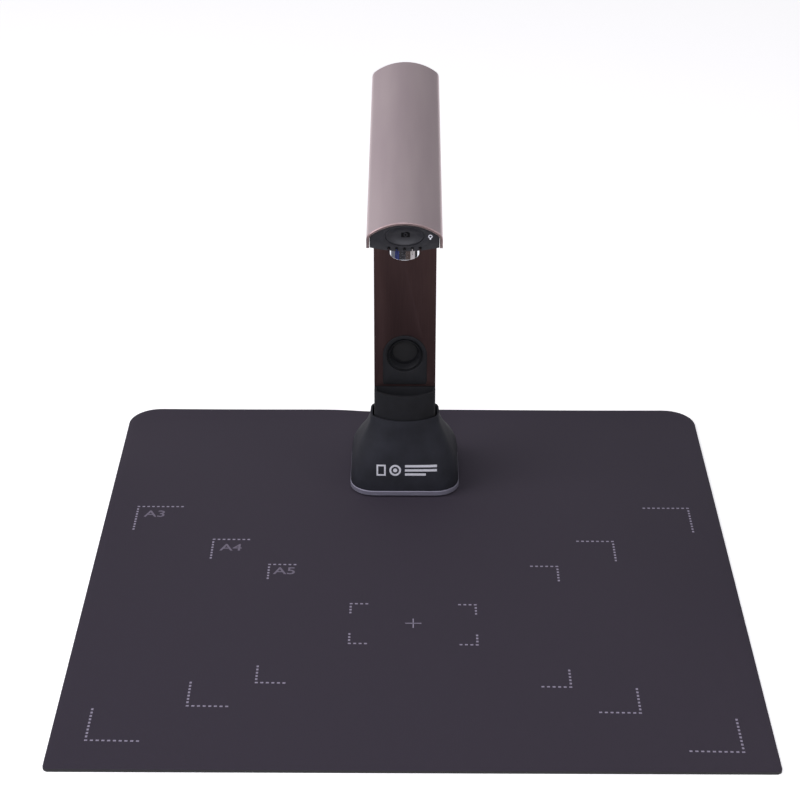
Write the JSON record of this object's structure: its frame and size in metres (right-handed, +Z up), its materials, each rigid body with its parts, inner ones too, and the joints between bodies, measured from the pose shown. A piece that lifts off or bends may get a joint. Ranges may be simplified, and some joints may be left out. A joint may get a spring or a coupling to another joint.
{
  "type": "document camera",
  "caption": "Document camera: a marked mat for papers, and a weighted stand whose slim arched head with lens and lamps folds down against its arm.",
  "frame": {"origin": "middle of the mat, on its underside", "axes": "+Z up, the user at -Y, the stand near the mat's +Y edge and its head running towards -Y"},
  "size_m": [0.465, 0.481, 0.3378],
  "materials": {
    "mat_rubber_cloth": "fine fabric face on rubber",
    "soft_touch_plastic": "soft-touch lacquer",
    "moulded_black_plastic": "fine moulded texture",
    "satin_aluminium": "satin",
    "champagne_anodised": "bead-blasted and anodised",
    "brown_anodised": "brushed and anodised dark brown",
    "black_die_casting": "black powder coat on a zinc casting",
    "zinc_plated_steel": "bright zinc plate",
    "polished_chrome": "polished",
    "brass": "turned",
    "black_rubber": "moulded",
    "circuit_board": "green solder mask",
    "coated_glass": "coated",
    "frosted_lamp_plastic": "frosted"
  },
  "bodies": {
    "root": {"mat": "mat_rubber_cloth", "base_housing": "soft_touch_plastic", "neck": "soft_touch_plastic", "lens_pocket": "soft_touch_plastic", "base_plate": "satin_aluminium", "arm_tube": "brown_anodised", "hinge_block": "black_die_casting", "base_weight": "zinc_plated_steel", "arm_anchor": "zinc_plated_steel", "arm_bolt_left": "zinc_plated_steel", "arm_bolt_right": "zinc_plated_steel", "base_screw_1": "zinc_plated_steel", "base_screw_2": "zinc_plated_steel", "base_screw_3": "zinc_plated_steel", "base_screw_4": "zinc_plated_steel", "neck_screw_left": "zinc_plated_steel", "neck_screw_right": "zinc_plated_steel", "usb_socket": "zinc_plated_steel", "foot_1": "black_rubber", "foot_2": "black_rubber", "foot_3": "black_rubber", "foot_4": "black_rubber", "pocket_pad": "black_rubber", "arm_cable": "black_rubber", "base_board": "circuit_board"},
    "head": {"head_shell": "champagne_anodised", "head_underside": "moulded_black_plastic", "head_end_plate": "moulded_black_plastic", "head_rear_cap": "moulded_black_plastic", "head_bracket": "zinc_plated_steel", "head_screw_left": "zinc_plated_steel", "head_screw_right": "zinc_plated_steel", "head_cable": "black_rubber", "hinge_pin": "zinc_plated_steel", "friction_washer_left": "brass", "friction_washer_right": "brass", "hinge_cap_left": "black_die_casting", "hinge_cap_right": "black_die_casting", "lens_barrel": "polished_chrome", "lens_glass": "coated_glass", "lens_stack": "black_die_casting", "camera_board": "circuit_board", "key_board": "circuit_board", "key_switch": "zinc_plated_steel", "lamp_board": "circuit_board", "lamp_window_left": "frosted_lamp_plastic", "lamp_window_right": "frosted_lamp_plastic"},
    "capture_key": {"capture_key": "moulded_black_plastic"}
  },
  "joints": [
    {"name": "head_fold", "type": "hinge", "parent": "root", "child": "head", "pos_m": [-0.0058, 0.1236, 0.3149], "axis": [1, 0, 0], "range_deg": [-6.3, 83.7]},
    {"name": "capture_press", "type": "slide", "parent": "head", "child": "capture_key", "axis": [0, 0.994, 0.1097], "range_m": [0, 0.0006], "stiffness_N_per_m": 900, "springref_m": -0.0004}
  ]
}
